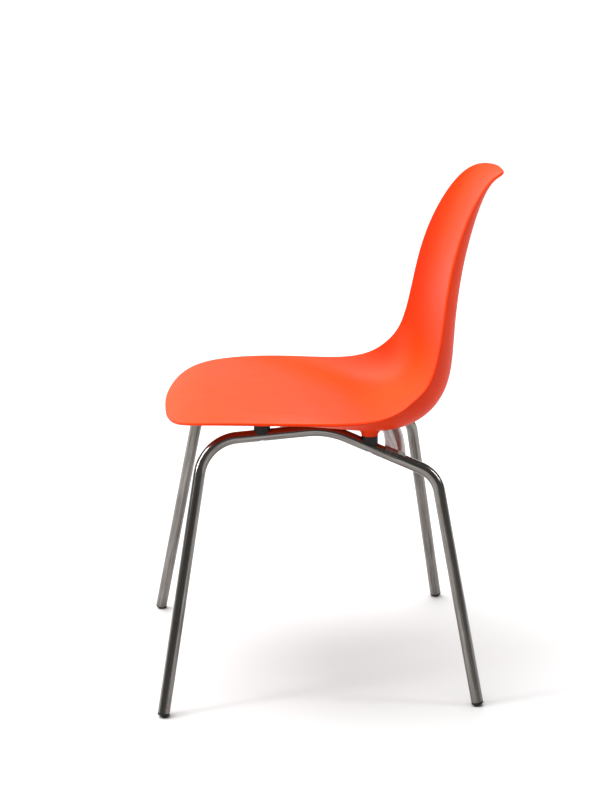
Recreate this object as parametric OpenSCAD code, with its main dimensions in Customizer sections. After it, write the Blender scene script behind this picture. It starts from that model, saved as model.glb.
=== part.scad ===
// Stacking chair: one moulded shell on a four-legged frame of bent steel tube.
// Millimetres, +Z up. The sitter faces -Y and the sitter's left side is +X.
// The origin lies on the floor, at the middle of the chair's width and depth.

/* [Seat shell] */
// Guide height of the middle of the seat above the floor
seat_h = 484; // [380:1:600]
// Rise from the middle of the seat to the top edge of the back
back_rise = 377; // [300:1:480]
// Distance from the middle of the feet forward to the front edge of the seat
seat_front = 243; // [210:1:290]
// Distance from the middle of the feet back to the heel, where seat turns to back
heel_reach = 236; // [215:1:285]
// How far the top edge leans back behind the heel
top_lean = 90; // [50:1:130]
// Width of the shell across the front of the seat
seat_width = 500; // [430:1:600]
// Width of the shell at the waist, between seat and back
waist_width = 380; // [320:1:460]
// Width of the shell across the shoulders of the back
shoulder_width = 244; // [200:1:300]
// Wall of the moulded shell
shell_wall = 5; // [3.5:0.1:7]
// Depth of the hollow across the seat
seat_dish = 47; // [36:1:58]
// Depth of the hollow across the heel
heel_dish = 61; // [48:1:76]
// Depth of the hollow across the back
back_dish = 41; // [25:1:50]
// Depth of the hollow along the top edge
top_dish = 12; // [0:1:20]
// Roundness of the front corners of the outline (2 is an ellipse, more is squarer)
front_round = 2.8; // [2.3:0.1:4.5]
// Roundness of the top corners of the outline
top_round = 3.5; // [2.4:0.1:4.5]

/* [Frame] */
// Outside diameter of the side tubes
tube_d = 20; // [16:0.5:25]
// Wall of every frame tube
tube_wall = 1.5; // [1:0.1:2.5]
// Outside diameter of the two cross tubes
cross_d = 18; // [14:0.5:21]
// Half the spread of the front feet, across the chair
front_foot_x = 242; // [200:1:300]
// Half the spread of the rear feet, across the chair
rear_foot_x = 250; // [210:1:310]
// Half the distance between front and rear feet, along the chair
foot_y = 261; // [220:1:320]
// Bend radius of the tube at the top of the front leg
front_bend_r = 70; // [45:1:90]
// Bend radius of the tube at the crest under the seat
crest_bend_r = 130; // [80:1:180]
// Bend radius of the tube at the top of the rear leg
rear_bend_r = 52; // [35:1:80]
// Half the spread of the side tubes at the front corner, across the chair
front_corner_x = 117; // [90:1:150]
// Distance of the front corner forward of the middle of the feet
front_corner_y = 181; // [165:1:200]
// Half the spread of the side tubes at the crest corner
crest_corner_x = 140; // [115:1:160]
// Distance of the crest corner behind the middle of the feet
crest_corner_y = 21; // [5:1:35]
// Half the spread of the side tubes at the rear corner
rear_corner_x = 166; // [140:1:190]
// Distance of the rear corner behind the middle of the feet
rear_corner_y = 199; // [185:1:215]
// Drop from the seat guide height to the top of the tube, at the crest corner
crest_drop = 18; // [10:0.5:30]
// Drop from the seat guide height to the top of the tube, at the front corner
front_drop = 40; // [32:1:60]
// Drop from the seat guide height to the top of the tube, at the rear corner
rear_drop = 95; // [80:1:120]
// Bow of the rear cross tube towards the back
rear_bow = 11; // [4:1:20]
// Distance of the rear cross tube's ends behind the middle of the feet
rear_cross_y = 139; // [135:1:150]
// Distance of the front cross tube forward of the middle of the feet
front_cross_y = 45; // [20:1:60]
// Reach of the rear cross tube beyond the middle of each side tube
rear_cross_over = 5; // [2:0.5:8]
// Width of the flat plate in front of the rear cross tube
plate_w = 21; // [14:0.5:24]
// Thickness of the plate
plate_t = 3; // [2:0.5:4]

/* [Seat fixings] */
// Distance of the front fixings forward of the middle of the feet
front_fix_y = 86; // [70:1:110]
// Distance of the rear fixings behind the middle of the feet
rear_fix_y = 90; // [78:1:100]
// Diameter of the saddle spacers and of the boss faces on them
spacer_d = 27; // [24:0.5:32]
// Height of a spacer from the top of the tube to the boss, on the screw's axis
spacer_gap = 8.5; // [7.5:0.1:10]
// How far a spacer reaches down the sides of the tube
spacer_wrap = 4; // [2:0.5:6]
// Nominal screw diameter
screw_d = 6; // [5:0.5:7]
// Outside diameter of the threaded inserts
insert_d = 8.5; // [7.5:0.1:10]
// Length of the threaded inserts
insert_len = 8; // [6:0.5:8.5]

/* [Feet] */
// Length of the glide plug inside the tube
plug_len = 24; // [15:1:40]
// Height of the glide's collar below the end of the tube
collar_h = 3; // [2:0.5:6]
// Radius of the domed sole
sole_r = 14; // [13:0.5:18]

/* [Hidden] */

shell_colour = "orangered";
steel_colour = [0.52, 0.50, 0.48];
black = [0.05, 0.05, 0.05];
brass = [0.78, 0.62, 0.30];

ROUND = 48;          // facets of a full circle
ACROSS = 20;         // shell panels from side to side
ALONG = 40;          // shell panels from the front edge to the top edge
STEP = 0.001;        // step of the finite differences
FAR = 400;           // longer than any piece

tube_r = tube_d / 2;
bore_r = tube_r - tube_wall;
cross_r = cross_d / 2;
fit = 0.2;           // clearance between pieces that slide together

// ---- Points, vectors and placing -------------------------------------------------

function unit(v) = v / norm(v);
function side_of(p, side) = [side * p[0], p[1], p[2]];
function matrix(x, y, z, o) = [[x[0], y[0], z[0], o[0]], [x[1], y[1], z[1], o[1]],
                               [x[2], y[2], z[2], o[2]], [0, 0, 0, 1]];
function across(v) = unit(cross(abs(v[2]) > 0.9 ? [0, 1, 0] : [0, 0, 1], v));

// Sets the local Z axis along dir at a point
module stand(point, dir) {
    z = unit(dir);
    x = across(z);
    multmatrix(matrix(x, cross(z, x), z, point)) children();
}

// Sets the local X axis along the chair's X and leans the local Y along a YZ slope
module lean(point, slope) {
    y = unit([0, slope[1], slope[2]]);
    multmatrix(matrix([1, 0, 0], y, cross([1, 0, 0], y), point)) children();
}

// ---- Shell surface ---------------------------------------------------------------
// Each guide is [y, z, half width, depth of the hollow, share of that depth gathered
// near the rim]; a cubic B-spline runs by them from the front edge to the top edge.

back_top = seat_h + back_rise;
waist = waist_width / 2;
shoulder = shoulder_width / 2;
guides = [
    [-seat_front, seat_h - 22, seat_width / 2 - 17, -9.6, 0.57],
    [-seat_front + 52, seat_h + 11.5, seat_width / 2 + 3, -4.8, 0.72],
    [-26, seat_h - 1.5, (seat_width + waist_width) / 4 + 19, 17.5, 0.83],
    [heel_reach - 134, seat_h - 43.5, waist + 16, seat_dish, 0.87],
    [heel_reach - 47, seat_h - 25, waist, heel_dish, 0.83],
    [heel_reach - 3, seat_h + 40.5, waist + 7, heel_dish - 9, 0.72],
    [heel_reach - 3, seat_h + back_rise * 0.354, waist - 1.5, back_dish - 8, 0.62],
    [heel_reach + top_lean * 0.19, seat_h + back_rise * 0.658, shoulder + 31, back_dish, 0.6],
    [heel_reach + top_lean * 0.63, seat_h + back_rise * 0.97, shoulder - 9, back_dish - 7, 0.61],
    [heel_reach + top_lean, back_top - 1, shoulder - 46, top_dish, 0.63]
];
SPANS = len(guides) - 1;

function guide(i) = i < 0 ? 2 * guides[0] - guides[1]
                  : i > SPANS ? 2 * guides[SPANS] - guides[SPANS - 1]
                  : guides[i];
function weights(f) = [pow(1 - f, 3), 3 * pow(f, 3) - 6 * f * f + 4,
                       -3 * pow(f, 3) + 3 * f * f + 3 * f + 1, pow(f, 3)] / 6;
function section_at(i, w) = w[0] * guide(i - 1) + w[1] * guide(i)
                          + w[2] * guide(i + 1) + w[3] * guide(i + 2);
function section(s) = let (u = min(max(s, 0), 1) * SPANS, i = min(floor(u), SPANS - 1))
    section_at(i, weights(u - i));
function hollow(x, lip) = (1 - lip) * x * x + lip * pow(abs(x), 7);

// Point of the sitting surface: x runs -1 to 1 across it, s runs 0 to 1 along it
function skin(x, s) =
    let (c = section(s), ahead = section(s + STEP), behind = section(s - STEP),
         t = unit([ahead[0] - behind[0], ahead[1] - behind[1]]), rise = c[3] * hollow(x, c[4]))
    [c[2] * x, c[0] - rise * t[1], c[1] + rise * t[0]];
function normal(x, s) =
    unit(cross(skin(x + STEP, s) - skin(x - STEP, s),
               skin(x, min(s + STEP, 1)) - skin(x, max(s - STEP, 0))));

// A square grid is squeezed to the rounded outline; a and b run -1 to 1
function corner(b) = b < 0 ? front_round : top_round;
function squeeze(a, b, n) = a * pow(1 - pow(abs(b), n) / 2, 1 / n);
function grid_x(a, b) = squeeze(a, b, corner(b));
function grid_s(a, b) = (squeeze(b, a, corner(b)) + 1) / 2;

// Surface parameter s at the distance y along the chair, in the plane x = wide
function place(wide, s) = skin(wide / section(s)[2], s);
function find_s(wide, y, lo = 0.05, hi = 0.62, n = 24) =
    n == 0 ? (lo + hi) / 2
    : let (mid = (lo + hi) / 2)
      place(wide, mid)[1] < y ? find_s(wide, y, mid, hi, n - 1) : find_s(wide, y, lo, mid, n - 1);

module shell_skin() {
    rows = ALONG + 1;
    cols = ACROSS + 1;
    spots = [for (i = [0:ACROSS], j = [0:ALONG])
        let (a = 2 * i / ACROSS - 1, b = 2 * j / ALONG - 1) [grid_x(a, b), grid_s(a, b)]];
    top = [for (p = spots) skin(p[0], p[1])];
    under = [for (k = [0:len(spots) - 1])
        top[k] - shell_wall * normal(spots[k][0], spots[k][1])];
    count = len(top);
    cells = [for (i = [0:ACROSS - 1], j = [0:ALONG - 1]) i * rows + j];
    rim = concat([for (j = [0:ALONG - 1]) j],
                 [for (i = [0:ACROSS - 1]) i * rows + ALONG],
                 [for (j = [ALONG:-1:1]) ACROSS * rows + j],
                 [for (i = [ACROSS:-1:1]) i * rows]);
    faces = concat(
        [for (k = cells) each [[k, k + 1, k + rows], [k + 1, k + rows + 1, k + rows]]],
        [for (k = cells) each [[count + k, count + k + rows, count + k + 1],
                               [count + k + 1, count + k + rows, count + k + rows + 1]]],
        [for (k = [0:len(rim) - 1])
            let (p = rim[k], q = rim[(k + 1) % len(rim)])
            each [[p, count + p, q], [q, count + p, count + q]]]);
    polyhedron(points = concat(top, under), faces = faces);
}

// ---- Side tube route -------------------------------------------------------------

front_foot = [front_foot_x, -foot_y, 0];
rear_foot = [rear_foot_x, foot_y, 0];
front_corner = [front_corner_x, -front_corner_y, seat_h - front_drop - tube_r];
crest_corner = [crest_corner_x, crest_corner_y, seat_h - crest_drop - tube_r];
rear_corner = [rear_corner_x, rear_corner_y, seat_h - rear_drop - tube_r];
front_axis = unit(front_corner - front_foot);
rear_axis = unit(rear_corner - rear_foot);

// Point of the straight run from p to q that lies at the distance y along the chair
function on_run(p, q, y) = p + (q - p) * (y - p[1]) / (q[1] - p[1]);

// The dome's centre stands off the floor by its radius less the worn flat facet
facet = 0.8;
sole_rise = sqrt(sole_r * sole_r - tube_r * tube_r);
function sole_centre(axis) = (sole_r - facet) / axis[2];
function tube_end(axis) = sole_centre(axis) - sole_rise + collar_h;

route = [front_foot + front_axis * tube_end(front_axis), front_corner, crest_corner, rear_corner,
         rear_foot + rear_axis * tube_end(rear_axis)];
bends = [0, front_bend_r, crest_bend_r, rear_bend_r, 0];

function turn(i) = let (u = unit(route[i] - route[i - 1]), v = unit(route[i + 1] - route[i]))
    acos(u * v);
function reach(i) = bends[i] == 0 ? 0 : bends[i] * tan(turn(i) / 2);
neck = 0.01;         // how much thinner the wall is in a bend, on each side
overlap = 0.5;       // how far a straight run reaches into a bend
function overlap_at(i) = bends[i] == 0 ? 0 : overlap;

module ring(r_out, r_in) {
    difference() {
        circle(r = r_out, $fn = ROUND);
        if (r_in > 0) circle(r = r_in, $fn = ROUND);
    }
}

// The route swept with a round section. Straight runs reach a little into the exact
// bends, which are necked by less than the eye sees, so that the pieces join cleanly.
module sweep(r_out, r_in) {
    for (i = [1:len(route) - 1]) {
        u = unit(route[i] - route[i - 1]);
        start = route[i - 1] + u * (reach(i - 1) - overlap_at(i - 1));
        end = route[i] - u * (reach(i) - overlap_at(i));
        stand(start, u) linear_extrude(norm(end - start)) ring(r_out, r_in);
    }
    for (i = [1:len(route) - 2]) {
        u = unit(route[i] - route[i - 1]);
        v = unit(route[i + 1] - route[i]);
        n = unit(v - (u * v) * u);
        centre = route[i] - u * reach(i) + n * bends[i];
        multmatrix(matrix(-n, u, cross(-n, u), centre))
            rotate_extrude(angle = turn(i), $fn = 4 * ROUND)
            translate([bends[i], 0]) ring(r_out - neck, r_in + neck);
    }
}

// ---- Seat fixings ----------------------------------------------------------------

front_fix = on_run(front_corner, crest_corner, -front_fix_y);
rear_fix = on_run(crest_corner, rear_corner, rear_fix_y);
front_run = unit(crest_corner - front_corner);
rear_run = unit(rear_corner - crest_corner);

// Rise from the tube's axis to its surface, straight up, on a run of direction dir
function rise_of(r, dir) = r / sqrt(1 - dir[2] * dir[2]);
function boss_z(fix, dir) = fix[2] + rise_of(tube_r, dir) + spacer_gap;

hole_d = screw_d + 0.6;
head_d = 1.75 * screw_d;
head_h = 0.55 * screw_d;
washer_d = 12;
washer_t = 0.29 * head_d;   // on the screw's axis: keeps the head clear of the bore's slope
access_d = washer_d + 1.4;
boss_flare = 9;      // extra diameter of a boss where it meets the shell
boss_len = 60;

// A boss hangs from the shell; it stops inside the wall, at the wall's own slope
module boss(fix, dir) {
    z = boss_z(fix, dir);
    s = find_s(fix[0], fix[1]);
    x = fix[0] / section(s)[2];
    middle = skin(x, s) - normal(x, s) * shell_wall / 2;
    flare_h = middle[2] - z + spacer_d / 4;
    intersection() {
        translate([fix[0], fix[1], z])
            cylinder(h = flare_h, d1 = spacer_d, d2 = spacer_d + boss_flare, $fn = ROUND);
        stand(middle, -normal(x, s)) translate([-boss_len, -boss_len, 0]) cube(2 * boss_len);
    }
}

module insert_hole(fix, dir) translate([fix[0], fix[1], boss_z(fix, dir) - 1])
    cylinder(h = insert_len + 1, d = insert_d, $fn = ROUND);

module seat_shell() {
    color(shell_colour) difference() {
        union() {
            shell_skin();
            for (side = [-1, 1]) {
                boss(side_of(front_fix, side), front_run);
                boss(side_of(rear_fix, side), rear_run);
            }
        }
        for (side = [-1, 1]) {
            insert_hole(side_of(front_fix, side), front_run);
            insert_hole(side_of(rear_fix, side), rear_run);
        }
    }
}

// Screw hole through the top of the tube, access hole through its bottom
module fixing_holes(fix) {
    translate(fix) cylinder(h = 2 * tube_d, d = hole_d, $fn = ROUND);
    translate(fix - [0, 0, 2 * tube_d]) cylinder(h = 2 * tube_d, d = access_d, $fn = ROUND);
}

module side_tube() {
    color(steel_colour) difference() {
        sweep(tube_r, bore_r);
        fixing_holes(front_fix);
        fixing_holes(rear_fix);
    }
}

// A saddle spacer: flat under the boss, hollowed to ride on the tube
module spacer(fix, dir) {
    z = boss_z(fix, dir);
    color(black) difference() {
        translate([fix[0], fix[1], fix[2] - tube_r])
            cylinder(h = z - fix[2] + tube_r, d = spacer_d, $fn = ROUND);
        stand(fix - dir * FAR / 2, dir) cylinder(h = FAR, r = tube_r, $fn = ROUND);
        lean(fix, dir) translate([-FAR / 2, -FAR / 2, tube_r - spacer_wrap - FAR]) cube([FAR, FAR, FAR]);
        translate(fix) cylinder(h = FAR, d = hole_d, $fn = ROUND);
    }
}

function washer_z(fix, dir) = fix[2] + rise_of(bore_r, dir) - washer_t;

// A saddle washer: follows the bore of the tube on top, flat below for the screw head
module washer(fix, dir) {
    color(steel_colour) difference() {
        intersection() {
            translate([fix[0], fix[1], washer_z(fix, dir)])
                cylinder(h = tube_d, d = washer_d, $fn = ROUND);
            stand(fix - dir * FAR / 2, dir) cylinder(h = FAR, r = bore_r, $fn = ROUND);
        }
        translate(fix) cylinder(h = FAR, d = hole_d, $fn = ROUND);
    }
}

// A button-head screw with a hexagon socket, driven from below
module screw(fix, dir) {
    z = washer_z(fix, dir);
    tip = boss_z(fix, dir) + insert_len - fit;
    color(steel_colour) translate([fix[0], fix[1], z]) difference() {
        union() {
            cylinder(h = tip - z, d = screw_d, $fn = ROUND);
            translate([0, 0, -head_h]) cylinder(h = head_h, d = head_d, $fn = ROUND);
        }
        translate([0, 0, -head_h - 1]) cylinder(h = head_h * 0.6 + 1, d = screw_d * 0.75, $fn = 6);
    }
}

// A brass insert, pressed into its boss
module insert(fix, dir) {
    color(brass) translate([fix[0], fix[1], boss_z(fix, dir)]) difference() {
        cylinder(h = insert_len, d = insert_d, $fn = ROUND);
        translate([0, 0, -1]) cylinder(h = insert_len + 2, d = screw_d, $fn = ROUND);
    }
}

// ---- Cross tubes and plate -------------------------------------------------------

rear_joint = on_run(crest_corner, rear_corner, rear_cross_y) + [0, 0, tube_r - 3];
front_joint = on_run(front_corner, crest_corner, -front_cross_y);

// Solid copies of both side tubes, to cope the ends of the cross tubes
module cope() {
    for (side = [-1, 1])
        for (run = [[front_corner, crest_corner], [crest_corner, rear_corner]])
            stand(side_of(run[0], side), side_of(run[1] - run[0], side))
                cylinder(h = norm(run[1] - run[0]), r = tube_r, $fn = ROUND);
}

module front_cross_tube() {
    color(steel_colour) difference() {
        translate([-front_joint[0], front_joint[1], front_joint[2]]) rotate([0, 90, 0])
            linear_extrude(2 * front_joint[0]) ring(cross_r, cross_r - tube_wall);
        cope();
    }
}

// The rear cross tube lies on the side tubes and bows back in a flat arc
rear_half = rear_joint[0] + rear_cross_over;
bow_r = (rear_half * rear_half + rear_bow * rear_bow) / (2 * rear_bow);

// Solid bar of radius r along that arc, its ends cut short
module rear_bar(r, short = 0) {
    spread = 2 * asin((rear_half - short) / bow_r);
    translate([0, rear_joint[1] + rear_bow - bow_r, rear_joint[2]]) rotate([0, 0, 90 - spread / 2])
        rotate_extrude(angle = spread, $fn = 16 * ROUND)
        translate([bow_r, 0]) circle(r = r, $fn = ROUND);
}

// Closed ends: the bore stops a wall short of them
module rear_cross_tube() {
    color(steel_colour) difference() {
        rear_bar(cross_r);
        rear_bar(cross_r - tube_wall, tube_wall);
        cope();
    }
}

// Plan direction of the side tube in the plate's own plane
plate_run = [rear_run[0], norm([rear_run[1], rear_run[2]])];
plate_front = (cross_r + plate_w - 1) / cos(asin(-rear_run[2] / plate_run[1]));

// A flat strap, bowed like the cross tube and cut off over the middles of the side tubes
module plate_strap() {
    x = rear_joint[0];
    lead = plate_run[0] / plate_run[1] * FAR;
    intersection() {
        translate([0, rear_bow - bow_r]) difference() {
            circle(r = bow_r - cross_r / 2, $fn = 16 * ROUND);
            circle(r = bow_r - plate_front, $fn = 16 * ROUND);
        }
        polygon([[-x + lead, -FAR], [x - lead, -FAR], [x + lead, FAR], [-x - lead, FAR]]);
    }
}

// The end of the plate, wrapped a quarter turn over the outside of a side tube
module plate_end() {
    at = on_run(crest_corner, rear_corner, rear_cross_y - cross_r - plate_w + 3);
    up = unit(cross([1, 0, 0], [0, rear_run[1], rear_run[2]]));
    multmatrix(matrix(up, cross(rear_run, up), rear_run, at))
        linear_extrude(plate_w / rear_run[1]) intersection() {
            ring(tube_r + plate_t, tube_r);
            square(FAR);
        }
}

// The plate lies on both side tubes and its rear edge is hollowed to the cross tube
module rear_cross_plate() {
    color(steel_colour) difference() {
        union() {
            lean([0, rear_joint[1], rear_joint[2] - tube_r + 3], rear_run)
                translate([0, 0, tube_r]) linear_extrude(plate_t) plate_strap();
            plate_end();
            mirror([1, 0, 0]) plate_end();
        }
        rear_bar(cross_r);
    }
}

// ---- Foot glides -----------------------------------------------------------------

module glide(foot, axis) {
    centre = sole_centre(axis);
    end = tube_end(axis);
    color(black) difference() {
        stand(foot, axis) {
            translate([0, 0, end - collar_h]) cylinder(h = collar_h, r = tube_r, $fn = ROUND);
            translate([0, 0, end - collar_h / 2])
                cylinder(h = plug_len + collar_h / 2, r = bore_r - fit / 2, $fn = ROUND);
            intersection() {
                translate([0, 0, centre]) sphere(r = sole_r, $fn = ROUND);
                cylinder(h = end - collar_h, r = tube_r, $fn = ROUND);
            }
        }
        translate([foot[0] - FAR / 2, foot[1] - FAR / 2, -FAR]) cube([FAR, FAR, FAR]);
    }
}

// ---- Nodes -----------------------------------------------------------------------

// The sizes above are laid out from the middle of the feet; the chair as a whole is
// then moved forward, so that the origin is at the middle of its depth.
foot_nose = tube_r - 1;     // reach of a glide in front of its foot
top_nose = 1.5;             // reach of the top edge behind its last guide
middle_y = (heel_reach + top_lean + top_nose - foot_y - foot_nose) / 2;

module left() translate([0, -middle_y, 0]) children();
module right() left() mirror([1, 0, 0]) children();

left() seat_shell();
left() side_tube();  // side_tube_left
right() side_tube();  // side_tube_right
left() front_cross_tube();
left() rear_cross_tube();
left() rear_cross_plate();
left() spacer(front_fix, front_run);  // spacer_front_left
right() spacer(front_fix, front_run);  // spacer_front_right
left() spacer(rear_fix, rear_run);  // spacer_rear_left
right() spacer(rear_fix, rear_run);  // spacer_rear_right
left() screw(front_fix, front_run);  // screw_front_left
right() screw(front_fix, front_run);  // screw_front_right
left() screw(rear_fix, rear_run);  // screw_rear_left
right() screw(rear_fix, rear_run);  // screw_rear_right
left() washer(front_fix, front_run);  // washer_front_left
right() washer(front_fix, front_run);  // washer_front_right
left() washer(rear_fix, rear_run);  // washer_rear_left
right() washer(rear_fix, rear_run);  // washer_rear_right
left() insert(front_fix, front_run);  // insert_front_left
right() insert(front_fix, front_run);  // insert_front_right
left() insert(rear_fix, rear_run);  // insert_rear_left
right() insert(rear_fix, rear_run);  // insert_rear_right
left() glide(front_foot, front_axis);  // glide_front_left
right() glide(front_foot, front_axis);  // glide_front_right
left() glide(rear_foot, rear_axis);  // glide_rear_left
right() glide(rear_foot, rear_axis);  // glide_rear_right
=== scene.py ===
"""Looks of a stacking chair: one moulded shell on a frame of bent steel tube.

Everything is in metres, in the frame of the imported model: +Z is up, the sitter faces -Y
and the sitter's left side is +X. The shell and the two side tubes are modelled again here
as smooth meshes on the same law and route as the solids; every other solid is shown as it
is, with a finish of its own.
"""

import logging
import math
from dataclasses import dataclass, field
from enum import Enum
from typing import Iterable, Sequence

import bmesh
import bpy
from mathutils import Matrix, Vector


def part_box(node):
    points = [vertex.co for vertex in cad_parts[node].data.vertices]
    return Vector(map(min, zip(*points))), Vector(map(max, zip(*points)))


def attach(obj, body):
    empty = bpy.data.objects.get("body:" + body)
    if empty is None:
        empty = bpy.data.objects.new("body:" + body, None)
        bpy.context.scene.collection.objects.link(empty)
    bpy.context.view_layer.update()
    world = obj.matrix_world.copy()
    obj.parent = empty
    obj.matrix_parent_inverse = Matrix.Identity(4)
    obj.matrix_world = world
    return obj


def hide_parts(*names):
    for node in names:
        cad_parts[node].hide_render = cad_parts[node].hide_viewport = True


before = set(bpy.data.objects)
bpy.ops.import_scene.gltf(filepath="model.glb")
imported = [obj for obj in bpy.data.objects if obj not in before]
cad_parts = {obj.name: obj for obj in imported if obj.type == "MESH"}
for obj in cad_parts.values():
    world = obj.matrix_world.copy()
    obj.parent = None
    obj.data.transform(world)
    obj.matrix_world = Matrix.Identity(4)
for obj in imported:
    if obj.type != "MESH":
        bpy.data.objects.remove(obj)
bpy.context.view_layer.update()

log = logging.getLogger("stacking_chair")

BODY = "root"
SIDES = {"left": 1.0, "right": -1.0}
ENDS = ("front", "rear")

Triple = tuple[float, float, float]
Colour = Triple


# ---- Meshes and pieces ---------------------------------------------------------------


def mesh_from(name: str, bm: bmesh.types.BMesh) -> bpy.types.Mesh:
    """Makes a mesh of a bmesh.

    Args:
        name: Name of the mesh.
        bm: The bmesh; it is freed.

    Returns:
        The mesh.
    """
    mesh = bpy.data.meshes.new(name)
    bm.to_mesh(mesh)
    bm.free()
    return mesh


def new_object(name: str, data: bpy.types.ID) -> bpy.types.Object:
    """Adds an object to the scene.

    Args:
        name: Name of the object.
        data: Its mesh, light or camera.

    Returns:
        The object.
    """
    made = bpy.data.objects.new(name, data)
    bpy.context.scene.collection.objects.link(made)
    return made


def finish_piece(name: str, bm: bmesh.types.BMesh, replaces: Sequence[str]) -> bpy.types.Object:
    """Turns a bmesh into a smooth object that rides on the chair.

    Args:
        name: Name of the piece.
        bm: The mesh, in place; it is freed.
        replaces: Solids that the piece stands for.

    Returns:
        The new object.
    """
    for face in bm.faces:
        face.smooth = True
    piece = new_object(name, mesh_from(name, bm))
    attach(piece, BODY)
    if replaces:
        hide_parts(*replaces)
    return piece


def axes_matrix(x: Vector, y: Vector, z: Vector, origin: Vector) -> Matrix:
    """A matrix with these columns as its axes and this origin."""
    return Matrix.Translation(origin) @ Matrix((x, y, z)).transposed().to_4x4()


def new_verts(found: dict) -> list[bmesh.types.BMVert]:
    """The vertices among the geometry that a bmesh operator returns."""
    return [item for item in found["geom"] if isinstance(item, bmesh.types.BMVert)]


def new_edges(found: dict) -> list[bmesh.types.BMEdge]:
    """The edges among the geometry that a bmesh operator returns."""
    return [item for item in found["geom"] if isinstance(item, bmesh.types.BMEdge)]


def grow_ring(
    bm: bmesh.types.BMesh, ring: list[bmesh.types.BMEdge], carried: dict
) -> tuple[list[bmesh.types.BMEdge], dict]:
    """Extrudes a ring of edges on the spot, and hands on what each vertex carries.

    Args:
        bm: The mesh.
        ring: The edges of the last ring.
        carried: What each vertex of the last ring carries.

    Returns:
        The edges of the new ring, and what each of its vertices carries.
    """
    grown = bmesh.ops.extrude_edge_only(bm, edges=ring)
    handed = {}
    for v in new_verts(grown):
        root = next(e.other_vert(v) for e in v.link_edges if e.other_vert(v) in carried)
        handed[v] = carried[root]
    return [e for e in new_edges(grown) if all(v in handed for v in e.verts)], handed


# ---- Finishes ------------------------------------------------------------------------


class Grain(Enum):
    """How the drawing lines of a steel piece run."""

    ALONG_TUBE = "along the tube's own length"
    ACROSS_CHAIR = "straight across the chair"


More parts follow.
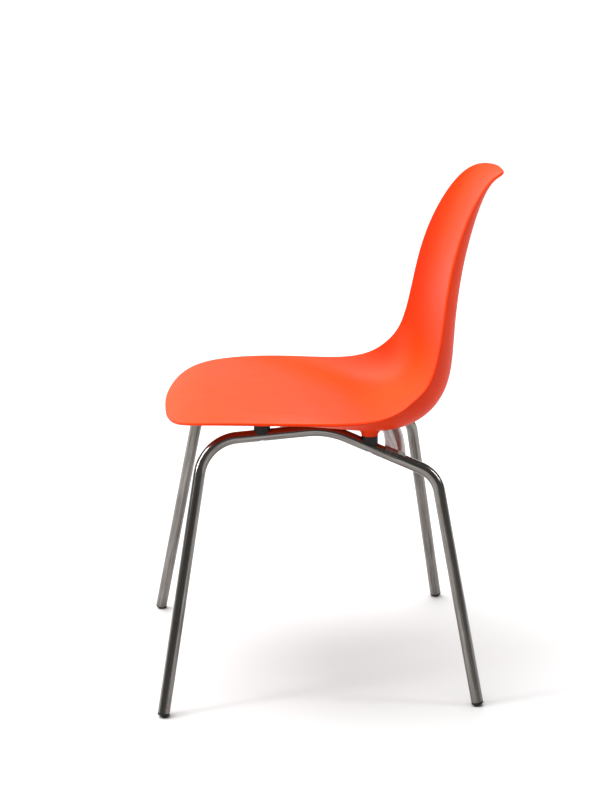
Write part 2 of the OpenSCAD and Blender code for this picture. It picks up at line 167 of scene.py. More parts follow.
class Wiring:
    """A material's node tree, with short ways to add and link nodes."""

    MIX_FACTOR, MIX_FIRST, MIX_SECOND, MIX_RESULT = 0, 6, 7, 2

    def __init__(self, name: str) -> None:
        """Starts a material with an empty tree, one shader and its output.

        Args:
            name: Name of the material.
        """
        self.material = bpy.data.materials.new(name)
        self.material.use_nodes = True
        self.tree = self.material.node_tree
        self.tree.nodes.clear()
        self.shader = self.add("ShaderNodeBsdfPrincipled")
        output = self.add("ShaderNodeOutputMaterial")
        self.tree.links.new(self.shader.outputs["BSDF"], output.inputs["Surface"])

    def add(self, kind: str, **settings: object) -> bpy.types.Node:
        """Adds a node and sets its properties.

        Args:
            kind: Type of the node.
            **settings: Its properties.

        Returns:
            The node.
        """
        node = self.tree.nodes.new(kind)
        for key, value in settings.items():
            setattr(node, key, value)
        return node

    def plug(self, value: object, socket: bpy.types.NodeSocket) -> None:
        """Links a socket, or sets a plain value on it.

        Args:
            value: An output socket or a plain value.
            socket: The input socket.
        """
        if isinstance(value, bpy.types.NodeSocket):
            self.tree.links.new(value, socket)
        else:
            socket.default_value = value

    def maths(self, operation: str, first: object, second: object = 0.0) -> bpy.types.NodeSocket:
        """Adds a maths node.

        Args:
            operation: What it works out.
            first: Its first value or socket.
            second: Its second value or socket.

        Returns:
            The result's socket.
        """
        node = self.add("ShaderNodeMath", operation=operation)
        self.plug(first, node.inputs[0])
        self.plug(second, node.inputs[1])
        return node.outputs[0]

    def stretched(self, vector: bpy.types.NodeSocket, scale: Triple) -> bpy.types.NodeSocket:
        """Scales a vector along each axis.

        Args:
            vector: The vector's socket.
            scale: The three factors.

        Returns:
            The scaled vector's socket.
        """
        node = self.add("ShaderNodeMapping")
        self.plug(vector, node.inputs["Vector"])
        node.inputs["Scale"].default_value = scale
        return node.outputs["Vector"]

    def noise(
        self, vector: bpy.types.NodeSocket, scale: float, detail: float = 3.0, roughness: float = 0.5
    ) -> bpy.types.NodeSocket:
        """The value of a noise texture.

        Args:
            vector: Where it is read.
            scale: Features per metre.
            detail: Octaves.
            roughness: How strong the finer octaves are.

        Returns:
            The noise's value, around 0.5.
        """
        node = self.add("ShaderNodeTexNoise")
        self.plug(vector, node.inputs["Vector"])
        node.inputs["Scale"].default_value = scale
        node.inputs["Detail"].default_value = detail
        node.inputs["Roughness"].default_value = roughness
        return node.outputs["Fac"]

    def spread(
        self, value: bpy.types.NodeSocket, low: float, high: float, near: float = 0.3, far: float = 0.7
    ) -> bpy.types.NodeSocket:
        """Maps a value from near..far to low..high, held at both ends.

        Args:
            value: The value's socket.
            low: Result at near.
            high: Result at far.
            near: Where the range starts.
            far: Where the range ends.

        Returns:
            The result's socket.
        """
        node = self.add("ShaderNodeMapRange")
        self.plug(value, node.inputs["Value"])
        node.inputs["From Min"].default_value = near
        node.inputs["From Max"].default_value = far
        node.inputs["To Min"].default_value = low
        node.inputs["To Max"].default_value = high
        return node.outputs["Result"]

    def blend(self, factor: object, first: object, second: object) -> bpy.types.NodeSocket:
        """Blends two colours.

        Args:
            factor: 0 for the first colour, 1 for the second.
            first: A colour or its socket.
            second: A colour or its socket.

        Returns:
            The blended colour's socket.
        """
        node = self.add("ShaderNodeMix", data_type="RGBA")
        self.plug(factor, node.inputs[self.MIX_FACTOR])
        self.plug(self.full(first), node.inputs[self.MIX_FIRST])
        self.plug(self.full(second), node.inputs[self.MIX_SECOND])
        return node.outputs[self.MIX_RESULT]

    @staticmethod
    def full(colour: object) -> object:
        """A colour with its alpha, or the socket as it is."""
        return (*colour, 1.0) if isinstance(colour, tuple) else colour

    def bumped(self, height: bpy.types.NodeSocket, strength: float, distance: float) -> None:
        """Adds a bump to the shader's normal, over any bump that is there already.

        Args:
            height: The height's socket.
            strength: How much of the bump shows, from 0 to 1.
            distance: Height in metres of a step from 0 to 1.
        """
        node = self.add("ShaderNodeBump")
        node.inputs["Strength"].default_value = strength
        node.inputs["Distance"].default_value = distance
        self.plug(height, node.inputs["Height"])
        normal = self.shader.inputs["Normal"]
        if normal.is_linked:
            self.plug(normal.links[0].from_socket, node.inputs["Normal"])
        self.plug(node.outputs["Normal"], normal)

    def place(self) -> bpy.types.NodeSocket:
        """The object coordinates."""
        return self.add("ShaderNodeTexCoord").outputs["Object"]


@dataclass(frozen=True)
class MouldedPlastic:
    """Coloured plastic with the fine satin skin of a spark-eroded mould."""

    colour: Colour = (0.66, 0.033, 0.0008)
    deep: Colour = (0.61, 0.027, 0.0004)
    gloss: tuple[float, float] = (0.46, 0.54)
    cloud_scale: float = 9.0
    flow_scale: float = 60.0
    flow_stretch: Triple = (1.0, 0.25, 0.25)
    flow_depth: float = 0.00012
    flow_gloss: float = 0.012
    pit_scale: float = 1500.0
    pit_depth: float = 0.00006
    pit_gloss: float = 0.03
    specular: float = 0.10
    index: float = 1.46

    def material(self, name: str) -> bpy.types.Material:
        """Builds the material.

        Args:
            name: Name of the material.

        Returns:
            The material.
        """
        w = Wiring(name)
        place = w.place()
        cloud = w.noise(place, self.cloud_scale, detail=4.0, roughness=0.55)
        skin = w.noise(place, self.pit_scale, detail=2.0, roughness=0.6)
        flow = w.noise(w.stretched(place, self.flow_stretch), self.flow_scale, detail=4.0, roughness=0.6)
        w.plug(w.blend(w.spread(cloud, 0.0, 1.0), self.deep, self.colour), w.shader.inputs["Base Color"])
        flow_gloss = w.spread(flow, -self.flow_gloss, self.flow_gloss)
        gloss = w.maths("ADD", w.spread(cloud, *self.gloss), flow_gloss)
        pit_gloss = w.spread(skin, -self.pit_gloss, self.pit_gloss)
        w.plug(w.maths("ADD", gloss, pit_gloss), w.shader.inputs["Roughness"])
        w.bumped(flow, strength=0.12, distance=self.flow_depth)
        w.bumped(skin, strength=0.35, distance=self.pit_depth)
        w.shader.inputs["Specular IOR Level"].default_value = self.specular
        w.shader.inputs["IOR"].default_value = self.index
        return w.material


@dataclass(frozen=True)
class DrawnSteel:
    """Bare steel with the lines that drawing leaves along it."""

    light: Colour = (0.29, 0.276, 0.262)
    dark: Colour = (0.10, 0.085, 0.073)
    gloss: tuple[float, float] = (0.14, 0.26)
    grain: Grain = Grain.ALONG_TUBE
    radius: float = 0.010
    shortening: float = 0.02
    fine_scale: float = 2600.0
    broad_scale: float = 420.0
    cloud_scale: float = 24.0
    broad_share: float = 0.6
    fine_share: float = 0.25
    cloud_share: float = 0.15
    tone_span: tuple[float, float] = (0.36, 0.64)
    fine_depth: float = 0.00002
    cloud_depth: float = 0.0004

    def lines_vector(self, w: Wiring) -> bpy.types.NodeSocket:
        """Where the lines are read: metres around and, much shortened, along the piece.

        Args:
            w: The material that is being wired.

        Returns:
            The vector's socket.
        """
        if self.grain is Grain.ACROSS_CHAIR:
            return w.stretched(w.place(), (self.shortening, 1.0, 1.0))
        parts = w.add("ShaderNodeSeparateXYZ")
        w.plug(w.add("ShaderNodeUVMap", uv_map=SideTube.UV_NAME).outputs["UV"], parts.inputs[0])
        angle = w.maths("MULTIPLY", parts.outputs["X"], math.tau)
        joined = w.add("ShaderNodeCombineXYZ")
        w.plug(w.maths("MULTIPLY", w.maths("COSINE", angle), self.radius), joined.inputs["X"])
        w.plug(w.maths("MULTIPLY", w.maths("SINE", angle), self.radius), joined.inputs["Y"])
        w.plug(w.maths("MULTIPLY", parts.outputs["Y"], self.shortening), joined.inputs["Z"])
        return joined.outputs["Vector"]

    def material(self, name: str) -> bpy.types.Material:
        """Builds the material.

        Args:
            name: Name of the material.

        Returns:
            The material.
        """
        w = Wiring(name)
        lines = self.lines_vector(w)
        fine = w.noise(lines, self.fine_scale, detail=3.0, roughness=0.6)
        broad = w.noise(lines, self.broad_scale, detail=3.0, roughness=0.55)
        cloud = w.noise(w.place(), self.cloud_scale, detail=4.0, roughness=0.6)
        broad_part = w.maths("MULTIPLY", broad, self.broad_share)
        tone = w.maths("ADD", broad_part, w.maths("MULTIPLY", fine, self.fine_share))
        tone = w.maths("ADD", tone, w.maths("MULTIPLY", cloud, self.cloud_share))
        colour = w.blend(w.spread(tone, 0.0, 1.0, *self.tone_span), self.dark, self.light)
        w.plug(colour, w.shader.inputs["Base Color"])
        smooth, rough = self.gloss
        w.plug(w.spread(tone, rough, smooth, *self.tone_span), w.shader.inputs["Roughness"])
        w.bumped(cloud, strength=0.10, distance=self.cloud_depth)
        w.bumped(fine, strength=0.30, distance=self.fine_depth)
        w.shader.inputs["Metallic"].default_value = 1.0
        return w.material


@dataclass(frozen=True)
class BlackElastomer:
    """Matt black moulded rubber-like plastic, a little dusty in random patches."""

    colour: Colour = (0.004, 0.004, 0.0045)
    dust: Colour = (0.010, 0.010, 0.0095)
    gloss: tuple[float, float] = (0.50, 0.66)
    cloud_scale: float = 90.0
    dust_span: tuple[float, float] = (0.45, 0.75)
    grain_scale: float = 2400.0
    grain_depth: float = 0.00005
    specular: float = 0.3

    def material(self, name: str) -> bpy.types.Material:
        """Builds the material.

        Args:
            name: Name of the material.

        Returns:
            The material.
        """
        w = Wiring(name)
        place = w.place()
        cloud = w.noise(place, self.cloud_scale, detail=4.0, roughness=0.6)
        grain = w.noise(place, self.grain_scale, detail=2.0, roughness=0.6)
        dusty = w.spread(cloud, 0.0, 1.0, *self.dust_span)
        w.plug(w.blend(dusty, self.colour, self.dust), w.shader.inputs["Base Color"])
        w.plug(w.spread(cloud, *self.gloss), w.shader.inputs["Roughness"])
        w.bumped(grain, strength=0.35, distance=self.grain_depth)
        w.shader.inputs["Specular IOR Level"].default_value = self.specular
        return w.material


@dataclass(frozen=True)
class PlainMetal:
    """Turned or plated metal with a light cloudiness and fine turning lines."""

    light: Colour = (0.62, 0.61, 0.60)
    dark: Colour = (0.40, 0.40, 0.41)
    gloss: tuple[float, float] = (0.22, 0.38)
    cloud_scale: float = 320.0
    turning_scale: float = 3200.0
    turning_stretch: Triple = (0.1, 0.1, 1.0)
    turning_depth: float = 0.00003

    def material(self, name: str) -> bpy.types.Material:
        """Builds the material.

        Args:
            name: Name of the material.

        Returns:
            The material.
        """
        w = Wiring(name)
        place = w.place()
        cloud = w.noise(place, self.cloud_scale, detail=4.0, roughness=0.6)
        stretched = w.stretched(place, self.turning_stretch)
        turning = w.noise(stretched, self.turning_scale, detail=2.0, roughness=0.5)
        w.plug(w.blend(w.spread(cloud, 0.0, 1.0), self.dark, self.light), w.shader.inputs["Base Color"])
        w.plug(w.spread(cloud, *self.gloss), w.shader.inputs["Roughness"])
        w.bumped(turning, strength=0.25, distance=self.turning_depth)
        w.shader.inputs["Metallic"].default_value = 1.0
        return w.material


# ---- Shell ---------------------------------------------------------------------------


@dataclass
class ShellForm:
    """The law of the sitting surface, as the solid has it.

    Sizes are laid out from the middle of the feet; middle is how far the chair as a whole
    is then moved forward.
    """

    seat_height: float = 0.484
    back_rise: float = 0.377
    seat_front: float = 0.243
    heel_reach: float = 0.236
    top_lean: float = 0.090
    seat_width: float = 0.500
    waist_width: float = 0.380
    shoulder_width: float = 0.244
    wall: float = 0.005
    seat_dish: float = 0.047
    heel_dish: float = 0.061
    back_dish: float = 0.041
    top_dish: float = 0.012
    front_round: float = 2.8
    top_round: float = 3.5
    middle: float = 0.02875
    step: float = 0.001
    lip_power: int = 7
    seat_span: tuple[float, float] = (0.05, 0.62)
    halvings: int = 24
    guides: list[tuple[float, float, float, float, float]] = field(init=False)

    def __post_init__(self) -> None:
        """Lays the guides of the surface.

        Each one holds a distance along, a height, a half width, the depth of the hollow and
        the share of that depth that is gathered near the rim.
        """
        h, heel, lean, rise = self.seat_height, self.heel_reach, self.top_lean, self.back_rise
        seat, waist, shoulder = self.seat_width / 2, self.waist_width / 2, self.shoulder_width / 2
        self.guides = [
            (-self.seat_front, h - 0.022, seat - 0.017, -0.0096, 0.57),
            (-self.seat_front + 0.052, h + 0.0115, seat + 0.003, -0.0048, 0.72),
            (-0.026, h - 0.0015, (seat + waist) / 2 + 0.019, 0.0175, 0.83),
            (heel - 0.134, h - 0.0435, waist + 0.016, self.seat_dish, 0.87),
            (heel - 0.047, h - 0.025, waist, self.heel_dish, 0.83),
            (heel - 0.003, h + 0.0405, waist + 0.007, self.heel_dish - 0.009, 0.72),
            (heel - 0.003, h + rise * 0.354, waist - 0.0015, self.back_dish - 0.008, 0.62),
            (heel + lean * 0.19, h + rise * 0.658, shoulder + 0.031, self.back_dish, 0.60),
            (heel + lean * 0.63, h + rise * 0.97, shoulder - 0.009, self.back_dish - 0.007, 0.61),
            (heel + lean, h + rise - 0.001, shoulder - 0.046, self.top_dish, 0.63),
        ]

    def guide(self, i: int) -> Vector:
        """Gives a guide, with one more beyond each end so that the curve reaches the last ones.

        Args:
            i: Number of the guide, from -1.

        Returns:
            The guide's five values.
        """
        last = len(self.guides) - 1
        if i < 0:
            return 2 * Vector(self.guides[0]) - Vector(self.guides[1])
        if i > last:
            return 2 * Vector(self.guides[last]) - Vector(self.guides[last - 1])
        return Vector(self.guides[i])

    def section(self, s: float) -> Vector:
        """Works out the section at a place along the shell.

        Args:
            s: Place along, from 0 at the front to 1 at the top.

        Returns:
            Distance along, height, half width, hollow and the share of it near the rim.
        """
        spans = len(self.guides) - 1
        u = min(max(s, 0.0), 1.0) * spans
        i = min(int(u), spans - 1)
        f = u - i
        weights = (
            (1 - f) ** 3,
            3 * f**3 - 6 * f * f + 4,
            -3 * f**3 + 3 * f * f + 3 * f + 1,
            f**3,
        )
        return sum((w / 6 * self.guide(i - 1 + k) for k, w in enumerate(weights)), Vector((0.0,) * 5))

    def skin(self, x: float, s: float) -> Vector:
        """Works out a point of the sitting surface.

        Args:
            x: Place across, from -1 to 1.
            s: Place along, from 0 at the front to 1 at the top.

        Returns:
            The point.
        """
        here, ahead, behind = self.section(s), self.section(s + self.step), self.section(s - self.step)
        along = Vector((ahead[0] - behind[0], ahead[1] - behind[1])).normalized()
        rise = here[3] * ((1 - here[4]) * x * x + here[4] * abs(x) ** self.lip_power)
        return Vector((here[2] * x, here[0] - rise * along[1] - self.middle, here[1] + rise * along[0]))

    def normal(self, x: float, s: float) -> Vector:
        """Works out the surface's normal.

        Args:
            x: Place across, from -1 to 1.
            s: Place along, from 0 at the front to 1 at the top.

        Returns:
            The normal, towards the sitter.
        """
        across = self.skin(x + self.step, s) - self.skin(x - self.step, s)
        along = self.skin(x, min(s + self.step, 1.0)) - self.skin(x, max(s - self.step, 0.0))
        return across.cross(along).normalized()

    def squeeze(self, a: float, b: float, inset: float) -> tuple[float, float]:
        """Takes a point of the square -1..1 to the rounded outline.

        Args:
            a: Place across the square.
            b: Place along the square.
            inset: How far inside the outline the square's edge lands, in metres.

        Returns:
            x and s, as skin takes them.
        """
        n = self.front_round if b < 0 else self.top_round
        x = a * (1 - abs(b) ** n / 2) ** (1 / n)
        y = b * (1 - abs(a) ** n / 2) ** (1 / n)
        half = self.section((y + 1) / 2)[2]
        return x * (1 - inset / half), (y * (1 - 2 * inset) + 1) / 2

    def find(self, wide: float, deep: float) -> tuple[float, float]:
        """x and s of the seat at a distance across and along the chair.

        Args:
            wide: Distance to the sitter's left.
            deep: Distance towards the back.

        Returns:
            x and s, as skin takes them.
        """
        low, high = self.seat_span
        for _ in range(self.halvings):
            s = (low + high) / 2
            if self.skin(wide / self.section(s)[2], s).y < deep:
                low = s
            else:
                high = s
        return wide / self.section(s)[2], s


@dataclass
class SeatShell:
    """The moulded shell: one wall with a rounded rim, and four bosses under the seat."""

    form: ShellForm = field(default_factory=ShellForm)
    across: int = 72
    along: int = 150
    rim_round: float = 0.0016
    guard: float = 0.0005
    rim_steps: int = 5
    weld: float = 1e-6
    boss_flare: float = 0.0075
    flare_power: float = 1.7
    boss_fillet: float = 0.0008
    boss_sink: float = 0.85
    boss_rings: int = 10
    boss_segments: int = 64
    plastic: MouldedPlastic = MouldedPlastic()

    def build(self) -> bpy.types.Object:
        """Models the shell and gives it its finish.

        Returns:
            The piece, which stands for the solid seat_shell.
        """
        bm = bmesh.new()
        self.raise_wall(bm)
        for end in ENDS:
            for side in SIDES:
                self.add_boss(bm, f"spacer_{end}_{side}")
        piece = finish_piece("seat_shell_moulding", bm, ["seat_shell"])
        piece.data.materials.append(self.plastic.material("shell_plastic"))
        return piece

    def raise_wall(self, bm: bmesh.types.BMesh) -> None:
        """Shapes a grid to the sitting surface, copies it as the outer face and rounds the rim.

        Args:
            bm: The shell's mesh.
        """
        bmesh.ops.create_grid(bm, x_segments=self.across, y_segments=self.along, size=1.0)
        bm.verts.ensure_lookup_table()
        inset = self.rim_round + self.guard
        spots = {v: self.form.squeeze(v.co.x, v.co.y, inset) for v in bm.verts}
        normals = {v: self.form.normal(*spot) for v, spot in spots.items()}
        for v, spot in spots.items():
            v.co = self.form.skin(*spot)
        rim = [e for e in bm.edges if e.is_boundary]
        frames = self.rim_frames(rim, normals)
        copy = bmesh.ops.duplicate(bm, geom=bm.verts[:] + bm.edges[:] + bm.faces[:])
        for old, new in copy["vert_map"].items():
            if old in normals:
                new.co = old.co - self.form.wall * normals[old]
        bmesh.ops.reverse_faces(bm, faces=[f for f in copy["geom"] if isinstance(f, bmesh.types.BMFace)])
        self.roll_rim(bm, rim, frames)
        bmesh.ops.remove_doubles(bm, verts=bm.verts[:], dist=self.weld)
        bmesh.ops.recalc_face_normals(bm, faces=bm.faces[:])

    @staticmethod
    def rim_frames(
        rim: Iterable[bmesh.types.BMEdge], normals: dict[bmesh.types.BMVert, Vector]
    ) -> dict[bmesh.types.BMVert, tuple[Vector, Vector, Vector]]:
        """Point, outward direction and downward direction at each vertex of the rim.

        Args:
            rim: The edges of the rim.
            normals: The surface's normal at each vertex.

        Returns:
            The three vectors for each vertex.
        """
        near: dict[bmesh.types.BMVert, list[bmesh.types.BMVert]] = {}
        for edge in rim:
            for v in edge.verts:
                near.setdefault(v, []).append(edge.other_vert(v))
        frames = {}
        for v, (first, second) in near.items():
            outward = normals[v].cross((first.co - second.co).normalized()).normalized()
            inner = sum((f.calc_center_median() for f in v.link_faces), Vector()) / len(v.link_faces)
            if outward.dot(v.co - inner) < 0:
                outward.negate()
            frames[v] = (v.co.copy(), outward, -normals[v])
        return frames

    def rim_profile(self) -> list[tuple[float, float]]:
        """Lays the rounded profile of the rim.

        Returns:
            Outward and downward steps, from the top surface to the outer one.
        """
        r, g, wall = self.rim_round, self.guard, self.form.wall
        turns = [math.pi / 2 * k / self.rim_steps for k in range(self.rim_steps + 1)]
        top = [(g + r * math.sin(t), r * (1 - math.cos(t))) for t in turns]
        low = [(g + r * math.cos(t), wall - r + r * math.sin(t)) for t in turns]
        return [*top, (g + r, r + g / 2), (g + r, wall - r - g / 2), *low, (0.0, wall)]

    def roll_rim(
        self,
        bm: bmesh.types.BMesh,
        rim: list[bmesh.types.BMEdge],
        frames: dict[bmesh.types.BMVert, tuple[Vector, Vector, Vector]],
    ) -> None:
        """Extrudes the rim step by step along its profile.

        Args:
            bm: The shell's mesh.
            rim: The edges of the rim.
            frames: Point, outward direction and downward direction at each of its vertices.
        """
        ring, held = rim, frames
        for out, down in self.rim_profile():
            ring, held = grow_ring(bm, ring, held)
            for v, (point, outward, downward) in held.items():
                v.co = point + out * outward + down * downward

    def add_boss(self, bm: bmesh.types.BMesh, spacer: str) -> None:
        """Adds the boss over a spacer, flared where it runs into the wall.

        Args:
            bm: The shell's mesh.
            spacer: Name of the spacer's solid.
        """
        low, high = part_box(spacer)
        centre = Vector(((low.x + high.x) / 2, (low.y + high.y) / 2, high.z))
        radius = (high.x - low.x) / 2
        made = bmesh.ops.create_circle(
            bm,
            cap_ends=True,
            segments=self.boss_segments,
            radius=radius - self.boss_fillet,
            matrix=Matrix.Translation(centre),
        )
        ring = list(dict.fromkeys(e for v in made["verts"] for e in v.link_edges))
        ways = {v: (v.co - centre).xy.normalized() for v in made["verts"]}
        for k in range(1, self.boss_rings + 1):
            t = k / self.boss_rings
            flare = self.boss_flare * (1 - math.sqrt(max(0.0, 1 - t**self.flare_power)))
            ring, ways = grow_ring(bm, ring, ways)
            for v, way in ways.items():
                flat = centre.xy + way * (radius + flare)
                x, s = self.form.find(flat.x, flat.y)
                wall = self.form.skin(x, s) - self.form.normal(x, s) * self.form.wall * self.boss_sink
                rise = self.boss_fillet if k == 1 else (wall.z - centre.z) * t
                v.co = Vector((flat.x, flat.y, centre.z + rise))


# ---- Steel frame ---------------------------------------------------------------------


@dataclass
class SideTube:
    """One bent side tube: front leg, the run under the seat with its crest, rear leg."""

    side: str
    steel: bpy.types.Material
    radius: float = 0.010
    wall: float = 0.0015
    seat_height: float = 0.484
    front_foot: tuple[float, float] = (0.242, -0.261)
    rear_foot: tuple[float, float] = (0.250, 0.261)
    front_corner: Triple = (0.117, -0.181, 0.040)
    crest_corner: Triple = (0.140, 0.021, 0.018)
    rear_corner: Triple = (0.166, 0.199, 0.095)
    bends: Triple = (0.070, 0.130, 0.052)
    middle: float = 0.02875
    segments: int = 64
    pull_shares: Triple = (0.004, 0.992, 0.004)
    bend_step: float = 2.0
    least_steps: int = 8
    hole: float = 0.0033
    access: float = 0.0067
    saddle_rise: float = 0.006
    drill_depth: float = 0.030
    drill_segments: int = 32
    sharp_angle: float = 40.0

    UV_NAME = "drawn"
    HALF_TURN = 0.5

    def corner(self, place: Triple) -> Vector:
        """Places a corner of the route.

        Args:
            place: Its spread, its distance along and its drop below the seat.

        Returns:
            The corner.
        """
        wide, deep, drop = place
        height = self.seat_height - drop - self.radius
        return Vector((SIDES[self.side] * wide, deep - self.middle, height))

    def foot(self, end: str) -> Vector:
        """Finds where a leg's axis meets the floor.

        Args:
            end: Which leg, front or rear.

        Returns:
            The point on the floor.
        """
        wide, deep = self.front_foot if end == "front" else self.rear_foot
        return Vector((SIDES[self.side] * wide, deep - self.middle, 0.0))

    def route(self) -> list[Vector]:
        """Lays the corners of the tube's axis.

        Returns:
            The corners, from the front leg's end to the rear leg's end.
        """
        corners = [self.corner(c) for c in (self.front_corner, self.crest_corner, self.rear_corner)]
        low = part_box(f"side_tube_{self.side}")[0].z
        ends = []
        for end, corner in (("front", corners[0]), ("rear", corners[-1])):
            foot = self.foot(end)
            axis = (corner - foot).normalized()
            ends.append(foot + axis * (low / axis.z + self.radius * math.tan(math.acos(axis.z))))
        return [ends[0], *corners, ends[1]]

    def build(self) -> bpy.types.Object:
        """Sweeps the tube, drills it and gives it its finish.

        Returns:
            The piece, which stands for the side tube's solid.
        """
        bm = bmesh.new()
        turns = bm.verts.layers.float.new("turns")
        length = bm.verts.layers.float.new("length")
        route = self.route()
        first = (route[1] - route[0]).normalized()
        seam = first.cross(Vector((SIDES[self.side], 0, 0))).normalized()
        start = axes_matrix(seam, first.cross(seam), first, route[0])
        made = bmesh.ops.create_circle(bm, cap_ends=False, segments=self.segments, radius=self.radius)
        for v in made["verts"]:
            v[turns] = (math.atan2(v.co.y, v.co.x) / math.tau) % 1.0
        bmesh.ops.transform(bm, matrix=start, verts=made["verts"])
        ring: list = made["verts"] + bm.edges[:]
        run, reach_before = 0.0, 0.0
        for i in range(1, len(route)):
            ahead = (route[i] - route[i - 1]).normalized()
            last = i == len(route) - 1
            after = ahead if last else (route[i + 1] - route[i]).normalized()
            bend = 0.0 if last else self.bends[i - 1]
            turn = ahead.angle(after, 0.0)
            reach = bend * math.tan(turn / 2)
            straight = (route[i] - route[i - 1]).length - reach_before - reach
            for share in self.pull_shares:
                ring, run = self.pull(bm, ring, ahead * straight * share, run, length)
            if not last:
                inward = (after - ahead * ahead.dot(after)).normalized()
                centre = route[i] - ahead * reach + inward * bend
                ring, run = self.turn_ring(bm, ring, centre, ahead.cross(inward), turn, bend, run, length)
            reach_before = reach
        self.lay_uv(bm, turns, length)
        bmesh.ops.recalc_face_normals(bm, faces=bm.faces[:])
        piece = finish_piece(f"side_tube_{self.side}_drawn", bm, [f"side_tube_{self.side}"])
        self.give_wall(piece)
        piece.data.materials.clear()
        piece.data.materials.append(self.steel)
        return piece

    @staticmethod
    def pull(
        bm: bmesh.types.BMesh, ring: list, step: Vector, run: float, length: bmesh.types.BMLayerItem
    ) -> tuple[list, float]:
        """Extrudes the ring straight on.

        Args:
            bm: The tube's mesh.
            ring: Vertices and edges of the last ring.
            step: How far and which way.
            run: Length of the tube so far.
            length: Layer that keeps the length at each vertex.

        Returns:
            The new ring and the new length.
        """
        edges = [e for e in ring if isinstance(e, bmesh.types.BMEdge)]
        grown = bmesh.ops.extrude_edge_only(bm, edges=edges)
        fresh = new_verts(grown)
        bmesh.ops.translate(bm, verts=fresh, vec=step)
        run += step.length
        for v in fresh:
            v[length] = run
        inside = set(fresh)
        ring_edges = [e for e in new_edges(grown) if all(v in inside for v in e.verts)]
        return fresh + ring_edges, run

    def turn_ring(
        self,
        bm: bmesh.types.BMesh,
        ring: list,
        centre: Vector,
        axis: Vector,
        turn: float,
        bend: float,
        run: float,
        length: bmesh.types.BMLayerItem,
    ) -> tuple[list, float]:
        """Spins the ring round a bend in small steps.

        Args:
            bm: The tube's mesh.
            ring: Vertices and edges of the last ring.
            centre: Centre of the bend.
            axis: Axis of the bend.
            turn: Angle of the bend.
            bend: Radius of the bend.
            run: Length of the tube so far.
            length: Layer that keeps the length at each vertex.

        Returns:
            The new ring and the new length.
        """
        steps = max(self.least_steps, round(math.degrees(turn) / self.bend_step))
        for _ in range(steps):
            spun = bmesh.ops.spin(
                bm, geom=ring, cent=centre, axis=axis, angle=turn / steps, steps=1, use_merge=False
            )
            ring = [g for g in spun["geom_last"] if not isinstance(g, bmesh.types.BMFace)]
            run += bend * turn / steps
            for v in ring:
                if isinstance(v, bmesh.types.BMVert):
                    v[length] = run
        return ring, run

    def lay_uv(
        self, bm: bmesh.types.BMesh, turns: bmesh.types.BMLayerItem, length: bmesh.types.BMLayerItem
    ) -> None:
        """Unrolls the tube: U is the turn around it and V the length along it, in metres.

        Args:
            bm: The tube's mesh.
            turns: Layer that keeps the turn at each vertex.
            length: Layer that keeps the length at each vertex.
        """
        layer = bm.loops.layers.uv.new(self.UV_NAME)
        for face in bm.faces:
            around = [loop.vert[turns] for loop in face.loops]
            wraps = max(around) - min(around) > self.HALF_TURN
            for loop, turn in zip(face.loops, around):
                u = turn + 1.0 if wraps and turn < self.HALF_TURN else turn
                loop[layer].uv = (u, loop.vert[length])

    def give_wall(self, piece: bpy.types.Object) -> None:
        """Gives the tube its wall, and the holes for the two seat screws.

        Args:
            piece: The tube.
        """
        wall = piece.modifiers.new("wall", "SOLIDIFY")
        wall.thickness = self.wall
        wall.offset = -1.0
        for end in ENDS:
            self.drill(piece, end)

    def drill(self, piece: bpy.types.Object, end: str) -> None:
        """Cuts the screw hole in the top of the tube and the wider one below it.

        Args:
            piece: The tube.
            end: Which fixing, front or rear.
        """
        low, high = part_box(f"spacer_{end}_{self.side}")
        middle = (low + high) / 2
        axis_z = low.z - self.saddle_rise
        half = self.drill_depth / 2
        bm = bmesh.new()
        for radius, rise in ((self.hole, half), (self.access, -half)):
            bmesh.ops.create_cone(
                bm,
                cap_ends=True,
                segments=self.drill_segments,
                radius1=radius,
                radius2=radius,
                depth=self.drill_depth,
                matrix=Matrix.Translation((middle.x, middle.y, axis_z + rise)),
            )
        tool = new_object("drill", mesh_from("drill", bm))
        cut = piece.modifiers.new("drill", "BOOLEAN")
        cut.operation = "DIFFERENCE"
        cut.solver = "EXACT"
        cut.use_self = True
        cut.object = tool
        evaluated = piece.evaluated_get(bpy.context.evaluated_depsgraph_get())
        baked = bpy.data.meshes.new_from_object(evaluated)
        piece.modifiers.clear()
        piece.data = baked
        bpy.data.objects.remove(tool)
        baked.set_sharp_from_angle(angle=math.radians(self.sharp_angle))


@dataclass
class Chair:
    """The whole chair: the shell, the frame and what holds them together."""

    steel: DrawnSteel = DrawnSteel()
    cross_steel: DrawnSteel = DrawnSteel(grain=Grain.ACROSS_CHAIR, gloss=(0.30, 0.42))
    elastomer: BlackElastomer = BlackElastomer()
    plated: PlainMetal = PlainMetal()
    brass: PlainMetal = PlainMetal(light=(0.80, 0.60, 0.28), dark=(0.62, 0.43, 0.18))

    def dress(self) -> None:
        """Gives every solid that is shown its finish."""
        made = {
            "cross": self.cross_steel.material("cross_steel"),
            "spacer": self.elastomer.material("spacer_elastomer"),
            "glide": self.elastomer.material("glide_elastomer"),
            "screw": self.plated.material("screw_plating"),
            "washer": self.plated.material("washer_plating"),
            "insert": self.brass.material("insert_brass"),
        }
        for name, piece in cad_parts.items():
            kind = "cross" if "cross" in name else name.split("_")[0]
            if kind in made:
                piece.data.materials.clear()
                piece.data.materials.append(made[kind])

    def build(self) -> list[bpy.types.Object]:
        """Builds the new pieces and dresses the solids.

        Returns:
            The new pieces.
        """
        drawn = self.steel.material("drawn_steel")
        pieces = [SeatShell().build()]
        pieces += [SideTube(side=side, steel=drawn).build() for side in SIDES]
        self.dress()
        return pieces


# ---- Studio --------------------------------------------------------------------------


@dataclass(frozen=True)
class SoftBox:
    """A soft box: where it hangs, its width and height, and its power in watts."""

    name: str
    at: Triple
    size: tuple[float, float]
    power: float


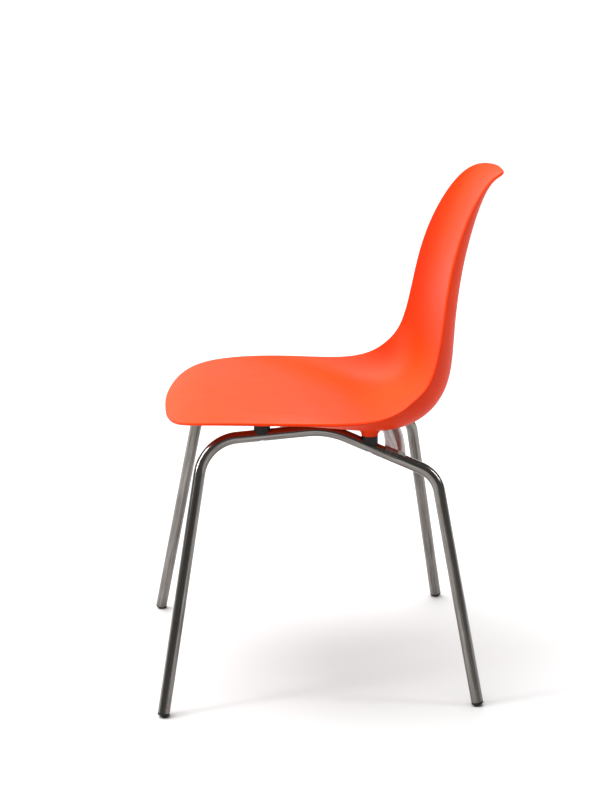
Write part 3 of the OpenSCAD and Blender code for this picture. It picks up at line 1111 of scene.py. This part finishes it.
@dataclass
class Studio:
    """A plain floor, soft light and the camera."""

    camera_at: Triple = (3.2301, -0.27665, 1.3895)
    yaw: float = 5.7932
    pitch: float = 15.6448
    roll: float = -0.043
    lens: float = 88.58
    sensor: float = 36.0
    shift: tuple[float, float] = (-0.0679, -0.0119)
    sight: float = 200.0
    floor_size: float = 60.0
    floor_squares: int = 4
    floor_tones: tuple[float, float] = (0.375, 0.385)
    floor_cloud: float = 3.0
    floor_roughness: float = 0.7
    sky: float = 0.16
    sky_seen: float = 1.0
    key: float = 9.6
    key_spread: float = 72.0
    key_from: Triple = (-0.16, -0.30, 1.0)
    boxes: tuple[SoftBox, ...] = (
        SoftBox("front", (0.6, -2.6, 1.7), (0.4, 1.3), 46.0),
        SoftBox("back", (0.5, 2.8, 2.1), (0.4, 1.3), 34.0),
        SoftBox("backdrop", (-3.4, 0.0, 0.9), (5.0, 1.6), 38.0),
    )
    boxes_aim: Triple = (0.0, 0.0, 0.45)

    def place_camera(self) -> bpy.types.Object:
        """Places the camera.

        Returns:
            The camera.
        """
        data = bpy.data.cameras.new("camera")
        data.sensor_width = self.sensor
        data.lens = self.lens
        data.shift_x, data.shift_y = self.shift
        data.clip_end = self.sight
        camera = new_object("camera", data)
        yaw, pitch = math.radians(self.yaw), math.radians(self.pitch)
        ahead = Vector(
            (-math.cos(yaw) * math.cos(pitch), math.sin(yaw) * math.cos(pitch), -math.sin(pitch))
        )
        right = Vector((math.sin(yaw), math.cos(yaw), 0.0))
        up = right.cross(ahead)
        view = axes_matrix(right, up, -ahead, Vector(self.camera_at))
        camera.matrix_world = view @ Matrix.Rotation(math.radians(self.roll), 4, "Z")
        bpy.context.scene.camera = camera
        return camera

    def lay_floor(self) -> bpy.types.Object:
        """Lays the floor.

        Returns:
            The floor.
        """
        bm = bmesh.new()
        squares = self.floor_squares
        bmesh.ops.create_grid(bm, x_segments=squares, y_segments=squares, size=self.floor_size / 2)
        floor = new_object("floor", mesh_from("floor", bm))
        w = Wiring("floor_paint")
        cloud = w.noise(w.place(), self.floor_cloud)
        dark, light = ((tone,) * 3 for tone in self.floor_tones)
        w.plug(w.blend(cloud, dark, light), w.shader.inputs["Base Color"])
        w.shader.inputs["Roughness"].default_value = self.floor_roughness
        floor.data.materials.append(w.material)
        return floor

    def hang(self, box: SoftBox) -> bpy.types.Object:
        """Hangs a soft box that faces the seat.

        Args:
            box: The soft box.

        Returns:
            The light.
        """
        data = bpy.data.lights.new(box.name, "AREA")
        data.shape = "RECTANGLE"
        data.size, data.size_y = box.size
        data.energy = box.power
        light = new_object(box.name, data)
        light.location = box.at
        aim = Vector(self.boxes_aim) - Vector(box.at)
        light.rotation_euler = aim.to_track_quat("-Z", "Y").to_euler()
        return light

    def paint_sky(self) -> None:
        """Sets a dim sky as light; where it is seen itself, past the floor's edge, it is white."""
        world = bpy.data.worlds.new("studio")
        world.use_nodes = True
        tree = world.node_tree
        tree.nodes.clear()
        seen = tree.nodes.new("ShaderNodeLightPath")
        mix = tree.nodes.new("ShaderNodeMixShader")
        output = tree.nodes.new("ShaderNodeOutputWorld")
        for slot, strength in ((1, self.sky), (2, self.sky_seen)):
            sky = tree.nodes.new("ShaderNodeBackground")
            sky.inputs["Color"].default_value = (1.0, 1.0, 1.0, 1.0)
            sky.inputs["Strength"].default_value = strength
            tree.links.new(sky.outputs["Background"], mix.inputs[slot])
        tree.links.new(seen.outputs["Is Camera Ray"], mix.inputs[0])
        tree.links.new(mix.outputs["Shader"], output.inputs["Surface"])
        bpy.context.scene.world = world

    def light(self) -> None:
        """Sets the sky, the broad key light overhead and the soft boxes around the chair."""
        self.paint_sky()
        data = bpy.data.lights.new("key", "SUN")
        data.energy = self.key
        data.angle = math.radians(self.key_spread)
        key = new_object("key", data)
        key.rotation_euler = (-Vector(self.key_from)).to_track_quat("-Z", "Y").to_euler()
        for box in self.boxes:
            self.hang(box)
        bpy.context.scene.view_settings.view_transform = "Standard"


def main() -> None:
    """Builds the studio and the chair, and reports each piece."""
    logging.basicConfig(level=logging.INFO, format="%(name)s: %(message)s")
    studio = Studio()
    studio.place_camera()
    for piece in Chair().build():
        low, high = Vector(piece.bound_box[0]), Vector(piece.bound_box[6])
        log.info("%s: %d faces, %.3f x %.3f x %.3f m", piece.name, len(piece.data.polygons), *(high - low))
    studio.lay_floor()
    studio.light()


if __name__ == "__main__":
    main()
